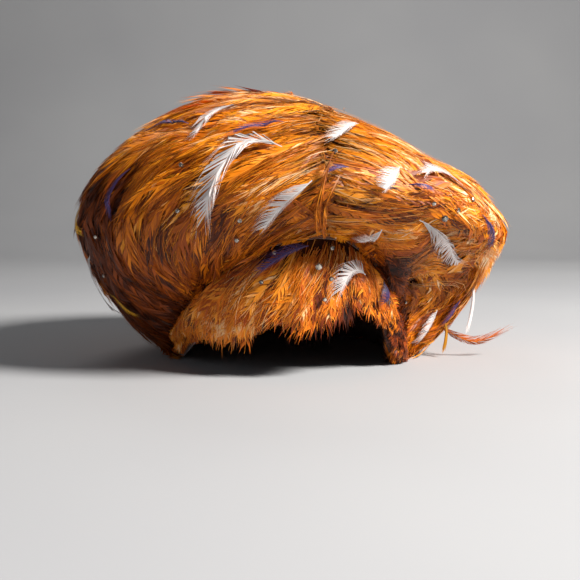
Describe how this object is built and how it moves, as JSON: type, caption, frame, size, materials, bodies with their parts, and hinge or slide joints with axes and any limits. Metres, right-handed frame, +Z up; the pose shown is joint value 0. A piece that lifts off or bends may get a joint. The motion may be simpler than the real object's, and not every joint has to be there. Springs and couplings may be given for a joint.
{
  "type": "feather-covered felt hat",
  "caption": "Full, lopsided bouffant hat of felt covered in orange hackle feathers, with white, purple and gold feathers and small cut stones.",
  "frame": {"origin": "middle of the overall box, on the surface that the hat's lower edge stands on", "axes": "+Z up, +X towards the rolled lobe at the viewer's right, -Y out of the brow"},
  "size_m": [0.3148, 0.2878, 0.1896],
  "materials": {
    "felt": "matt brown felt",
    "crown_feather": "glossy orange hackle feathers with rust shades",
    "brow_feather": "fine orange and rust hackle feathers",
    "white_feather": "white hackle feathers",
    "purple_feather": "dark purple hackle feathers",
    "gold_feather": "golden hackle feathers",
    "cut_stone": "foiled clear cut stones"
  },
  "bodies": {
    "root": {"brow_feathers": "brow_feather", "crown_feathers": "crown_feather", "felt_crown": "felt", "gold_feather_1": "gold_feather", "gold_feather_2": "gold_feather", "head_band": "felt", "purple_feather_1": "purple_feather", "purple_feather_2": "purple_feather", "purple_feather_3": "purple_feather", "purple_feather_4": "purple_feather", "purple_feather_5": "purple_feather", "purple_feather_6": "purple_feather", "purple_feather_7": "purple_feather", "purple_feather_8": "purple_feather", "purple_feather_9": "purple_feather", "stone_1": "cut_stone", "stone_10": "cut_stone", "stone_11": "cut_stone", "stone_12": "cut_stone", "stone_13": "cut_stone", "stone_14": "cut_stone", "stone_15": "cut_stone", "stone_16": "cut_stone", "stone_17": "cut_stone", "stone_18": "cut_stone", "stone_2": "cut_stone", "stone_3": "cut_stone", "stone_4": "cut_stone", "stone_5": "cut_stone", "stone_6": "cut_stone", "stone_7": "cut_stone", "stone_8": "cut_stone", "stone_9": "cut_stone", "trailing_plume": "gold_feather", "white_feather_1": "white_feather", "white_feather_10": "white_feather", "white_feather_11": "white_feather", "white_feather_2": "white_feather", "white_feather_3": "white_feather", "white_feather_4": "white_feather", "white_feather_5": "white_feather", "white_feather_6": "white_feather", "white_feather_7": "white_feather", "white_feather_8": "white_feather", "white_feather_9": "white_feather"}
  },
  "joints": []
}
